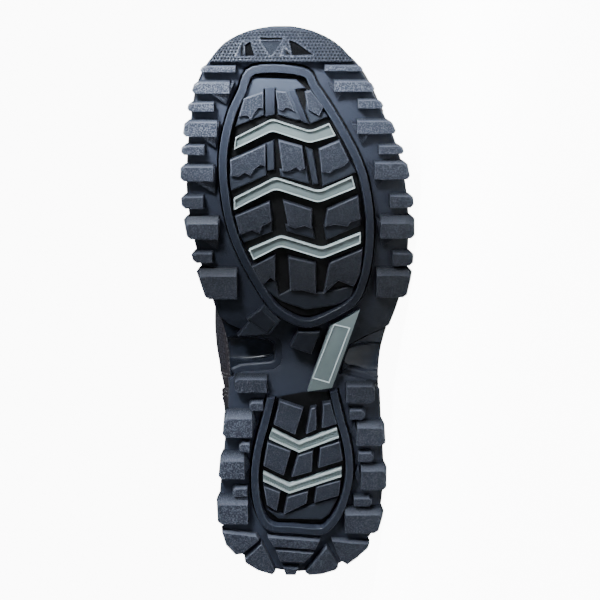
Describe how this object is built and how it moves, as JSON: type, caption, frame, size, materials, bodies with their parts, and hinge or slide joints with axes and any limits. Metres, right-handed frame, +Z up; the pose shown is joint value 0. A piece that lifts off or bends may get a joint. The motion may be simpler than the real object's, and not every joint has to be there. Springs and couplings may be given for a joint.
{
  "type": "combat boot",
  "caption": "Black lace-up combat boot for the left foot with a deep lugged rubber outsole, grey-green tread inserts, a padded collar and a lugged heel, lying on its outer side.",
  "frame": {"origin": "centre of the bottom of the box round the boot, on the floor it lies on", "axes": "+X from the heel toward the toe, +Y from the tread toward the collar, +Z up from the boot's outer side toward its inner side"},
  "size_m": [0.2992, 0.2302, 0.1243],
  "materials": {
    "outsole": "matte moulded rubber, finely stippled on the lugs",
    "midsole": "glossy moulded rubber",
    "insert": "grey-green satin rubber",
    "leather": "smooth black leather, worn in",
    "nylon": "woven nylon",
    "felt": "matte felt",
    "steel": "black lacquer",
    "cord": "braided cord"
  },
  "bodies": {
    "root": {"outsole": "outsole", "midsole": "midsole", "insole": "felt", "upper": "leather", "toe_cap": "leather", "heel_counter": "leather", "eyestay_medial": "leather", "eyestay_lateral": "leather", "tongue": "nylon", "lace": "cord", "forefoot_chevron_1": "insert", "forefoot_chevron_2": "insert", "forefoot_chevron_3": "insert", "heel_chevron_1": "insert", "heel_chevron_2": "insert", "waist_bar": "insert", "eyelet_medial_1": "steel", "eyelet_medial_2": "steel", "eyelet_medial_3": "steel", "eyelet_medial_4": "steel", "eyelet_medial_5": "steel", "eyelet_medial_6": "steel", "eyelet_medial_7": "steel", "eyelet_lateral_1": "steel", "eyelet_lateral_2": "steel", "eyelet_lateral_3": "steel", "eyelet_lateral_4": "steel", "eyelet_lateral_5": "steel", "eyelet_lateral_6": "steel", "eyelet_lateral_7": "steel"}
  },
  "joints": []
}
